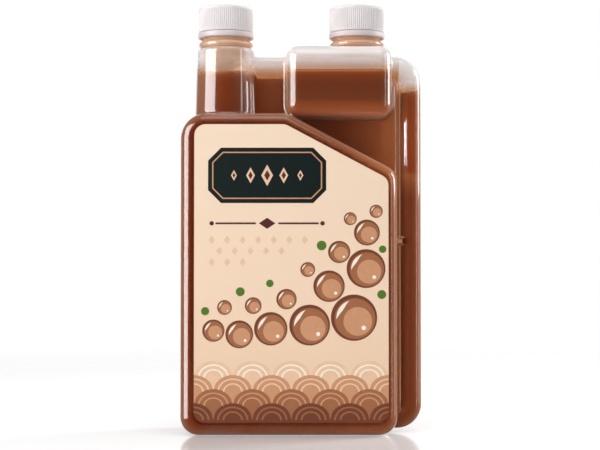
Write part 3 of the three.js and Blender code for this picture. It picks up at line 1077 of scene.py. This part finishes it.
def print_bubbles():
    print_piece("print_bubble_rims", 1, [disc(x, z, r) for x, z, r in BUBBLES], BROWN)
    print_piece("print_bubbles", 2, [
        disc(x + r * 0.04, z - r * 0.04, r * 0.88) for x, z, r in BUBBLES
    ], LIGHT_BROWN)
    print_piece("print_bubble_glows", 3, [
        disc(x + r * 0.16, z - r * 0.16, r * 0.62) for x, z, r in BUBBLES
    ], TAN)
    print_piece("print_bubble_lights", 4, [
        shape for x, z, r in BUBBLES
        for shape in (crescent(x, z, r * 0.76, 105, 185, r * 0.18), disc(x + r * 0.42, z - r * 0.44, r * 0.1))
    ], CREAM)
    print_piece("print_beads", 1, [disc(x, z, r) for x, z, r in BEADS], GREEN)


def print_cartouche():
    left, bottom, right, top = CARTOUCHE
    middle_x, middle_z = (left + right) / 2, (bottom + top) / 2
    for level, inset, tone in ((1, 0, TEAL), (2, 2.2, TAN), (3, 2.9, TEAL)):
        cut = CARTOUCHE_CUT - CUT_PER_INSET * inset
        shape = octagon(left + inset, bottom + inset, right - inset, top - inset, cut)
        print_piece("print_cartouche_" + str(level), level, [shape], tone)
    places = [(middle_x + LOZENGE_STEP * step, 3.2 - 0.8 * abs(step)) for step in range(-2, 3)]
    print_piece("print_lozenges", 4, [lozenge(x, middle_z, 2 * w, 3.6 * w) for x, w in places], PALE_TAN)
    print_piece("print_lozenge_eyes", 5, [lozenge(x, middle_z, w, 1.8 * w) for x, w in places], RED_BROWN)


def print_rule():
    """An ornament rule below the cartouche, and a lattice of small lozenges under it."""
    left, _, right, _ = CARTOUCHE
    middle = (left + right) / 2
    print_piece("print_rule", 1, [
        lozenge(middle, RULE_HEIGHT, 9, 6),
        *[
            rectangle(start, RULE_HEIGHT - RULE_HALF, end, RULE_HEIGHT + RULE_HALF, RULE_CORNER)
            for start, end in ((left + 4, middle - RULE_GAP), (middle + RULE_GAP, right - 4))
        ],
        disc(left + 2, RULE_HEIGHT, 1.2),
        disc(right - 2, RULE_HEIGHT, 1.2),
    ], RED_BROWN)
    print_piece("print_lattice", 1, [
        lozenge(
            left + 2 + LATTICE_STEP * (column + 0.5 * (row % 2)),
            RULE_HEIGHT - LATTICE_DROP - LATTICE_RISE * row, 3.4, 4.6,
        )
        for row in range(LATTICE_ROWS) for column in range(7 - 2 * row)
    ], PALE_TAN)


def make_print():
    print_scallops()
    print_bubbles()
    print_cartouche()
    print_rule()


# Pieces
def dress(obj, material, body, slot, *nodes):
    obj.data.materials.clear()
    obj.data.materials.append(material)
    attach(obj, body)
    if nodes:
        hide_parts(*nodes)


def make_bottle():
    plastic = clear_plastic()
    necks = neck_plastic()
    body_soap = body_soap_liquid()
    dose_soap = dose_soap_liquid()
    dress(make_shell(), plastic, "bottle", "bottle_plastic", "bottle")
    for name, x in (("fill_neck", fill_x), ("dose_neck", dose_x)):
        dress(make_neck(name, x), necks, "bottle", "bottle_plastic")
    dress(make_soap("soap_in_body", body_soap_field), body_soap, "bottle", "soap", "body_soap")
    dress(make_soap("soap_in_chamber", dose_field), dose_soap, "bottle", "soap", "chamber_soap")


def make_closures():
    white = cap_plastic("cap_plastic", srgb(227, 221, 221), srgb(234, 229, 229))
    ring = cap_plastic("band_plastic", srgb(212, 201, 201), srgb(218, 208, 208))
    foam = wad_foam()
    for name, x in (("fill", fill_x), ("dose", dose_x)):
        dress(make_cap(name + "_ribbed_cap", x), white, name + "_cap", "cap_plastic", name + "_cap")
        dress(make_band(name + "_band", x), ring, "bottle", "cap_plastic", name + "_tamper_band")
        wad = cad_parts[name + "_cap_wad"]
        wad.data.materials.clear()
        wad.data.materials.append(foam)


def make_label():
    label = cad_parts["front_label"]
    label.data.materials.clear()
    label.data.materials.append(label_film())
    make_print()


# Studio: floor distances in metres, the camera's place in millimetres
FLOOR_MIRROR = 0.55
FLOOR_ROUGHNESS = 0.12
FLOOR_NEAR = 0.3
FLOOR_FAR = 0.9
ROOM_LIGHT = 0.45
ROOM_REFLECTION = 0.03
CAMERA_PLACE = (-1.2, -850, 89.8)
CAMERA_PITCH = 1.69
CAMERA_LENS = 91.3
SENSOR_WIDTH = 36
BACK_START = 0.75
BACK_FULL = 0.85


def make_camera():
    data = bpy.data.cameras.new("camera")
    data.lens = CAMERA_LENS
    data.sensor_width = SENSOR_WIDTH
    camera = linked("camera", data)
    camera.location = Vector(CAMERA_PLACE) * MM
    camera.rotation_euler = (math.radians(90 + CAMERA_PITCH), 0, 0)
    bpy.context.scene.camera = camera


def floor_gloss():
    """Glossy white acrylic that fades into the white room away from the bottle."""
    s = Surface("floor_gloss")
    tone = s.ramp(s.noise(3, 2), (0.3, srgb(252, 252, 252)), (0.7, srgb(254, 254, 254)))
    white = s.add("ShaderNodeBsdfDiffuse", {"Color": tone})
    mirror = s.add("ShaderNodeBsdfAnisotropic", {"Color": (1, 1, 1, 1), "Roughness": FLOOR_ROUGHNESS})
    gloss = s.add("ShaderNodeMixShader", {
        0: FLOOR_MIRROR, 1: white.outputs["BSDF"], 2: mirror.outputs["BSDF"],
    })
    away = s.add("ShaderNodeVectorMath", {0: s.place}, operation="LENGTH")
    fade = s.add("ShaderNodeMapRange", {
        "Value": away.outputs["Value"], "From Min": FLOOR_NEAR, "From Max": FLOOR_FAR,
    })
    room = s.add("ShaderNodeBsdfTransparent")
    mix = s.add("ShaderNodeMixShader", {
        0: fade.outputs["Result"], 1: gloss.outputs["Shader"], 2: room.outputs["BSDF"],
    })
    s.feed(s.output.inputs["Surface"], mix.outputs["Shader"])
    return s.material


def make_floor():
    side = FLOOR_FAR / MM
    corners = [(-side, -side, 0), (side, -side, 0), (side, side, 0), (-side, side, 0)]
    mesh = mesh_data("floor", corners, [(0, 1, 2, 3)], smooth=False)
    floor = linked("floor", mesh)
    mesh.materials.append(floor_gloss())
    floor.visible_glossy = False


def around(angle, distance, height):
    """A place round from the front of the bottle."""
    turn = math.radians(angle)
    return Vector((distance * math.sin(turn), -distance * math.cos(turn), height))


def softbox(name, place, aim, width, tall, radiance, mirrored):
    """A rectangular lamp, which either lights the surfaces or is mirrored in them."""
    data = bpy.data.lights.new(name, "AREA")
    data.shape = "RECTANGLE"
    data.size = width
    data.size_y = tall
    data.energy = radiance * math.pi * width * tall
    data.cycles.use_multiple_importance_sampling = mirrored
    lamp = linked(name, data)
    lamp.location = place
    lamp.rotation_euler = (aim - place).to_track_quat("-Z", "Y").to_euler()
    lamp.visible_camera = False
    lamp.visible_diffuse = not mirrored
    lamp.visible_glossy = mirrored
    lamp.visible_transmission = mirrored


def make_world():
    """A room white to the eye and behind the bottle, dimmer as light and dark where surfaces mirror it."""
    world = bpy.data.worlds.new("studio")
    world.use_nodes = True
    world.cycles.sampling_method = "NONE"
    bpy.context.scene.world = world
    tree = world.node_tree

    def add(kind, inputs=None, **settings):
        return add_node(tree, kind, inputs, settings)

    path = add("ShaderNodeLightPath")
    way = add("ShaderNodeSeparateXYZ", {"Vector": add("ShaderNodeTexCoord").outputs["Generated"]})
    lit = add("ShaderNodeMapRange", {
        "Value": path.outputs["Is Diffuse Ray"], "To Min": 1.0, "To Max": ROOM_LIGHT,
    })
    mirrored = add("ShaderNodeMapRange", {
        "Value": way.outputs["Y"],
        "From Min": BACK_START,
        "From Max": BACK_FULL,
        "To Min": ROOM_REFLECTION,
        "To Max": 1.0,
    })
    strength = add("ShaderNodeMix", {
        "Factor": path.outputs["Is Glossy Ray"], "A": lit.outputs["Result"], "B": mirrored.outputs["Result"],
    }, data_type="FLOAT")
    shown = tree.nodes["Background"]
    shown.inputs["Color"].default_value = (1, 1, 1, 1)
    tree.links.new(strength.outputs["Result"], shown.inputs["Strength"])


# Places and sizes of lamps in metres
BOTTLE_MIDDLE = 0.12
FAR = 0.85
RAISED = 0.3
TALL = 0.9
HIGH_SHINE = 0.46
LOW_SHINE = 0.05


def make_studio():
    make_camera()
    make_floor()
    make_world()
    middle = Vector((0, 0, BOTTLE_MIDDLE))
    above = around(10, 0.4, 1.3)
    high, low = Vector((0, 0, HIGH_SHINE)), Vector((0, 0, LOW_SHINE))
    softbox("key_light", around(-55, FAR, RAISED), middle, 0.6, TALL, 2.25, False)
    softbox("rim_light", around(118, FAR, RAISED), middle, 0.3, TALL, 10.5, False)
    softbox("top_light", above, middle, 0.9, 0.7, 4.1, False)
    softbox("left_shine", around(-62, FAR, RAISED), middle, 0.66, TALL, 7.2, True)
    softbox("right_shine", around(99, FAR, HIGH_SHINE), high, 0.3, 0.58, 7.5, True)
    softbox("right_low_shine", around(99, FAR, LOW_SHINE), low, 0.3, 0.24, 0.8, True)
    softbox("right_strip", around(64, FAR, RAISED), middle, 0.1, TALL, 3.0, True)
    softbox("top_shine", above, middle, 0.9, 0.7, 1.0, True)
    gap = Vector((chamber_left - 4, -10.5, 187)) * MM
    softbox("gap_strip", gap, gap - Vector((1, 0, 0)), 0.003, 0.02, 6.0, True)
    recess = Vector((chamber_right - 5, -8.5, 161)) * MM
    softbox("recess_strip", recess, recess + Vector((1, 0, 0)), 0.004, 0.024, 15.0, True)
    bpy.context.scene.view_settings.view_transform = "Standard"


make_bottle()
make_closures()
make_label()
make_studio()
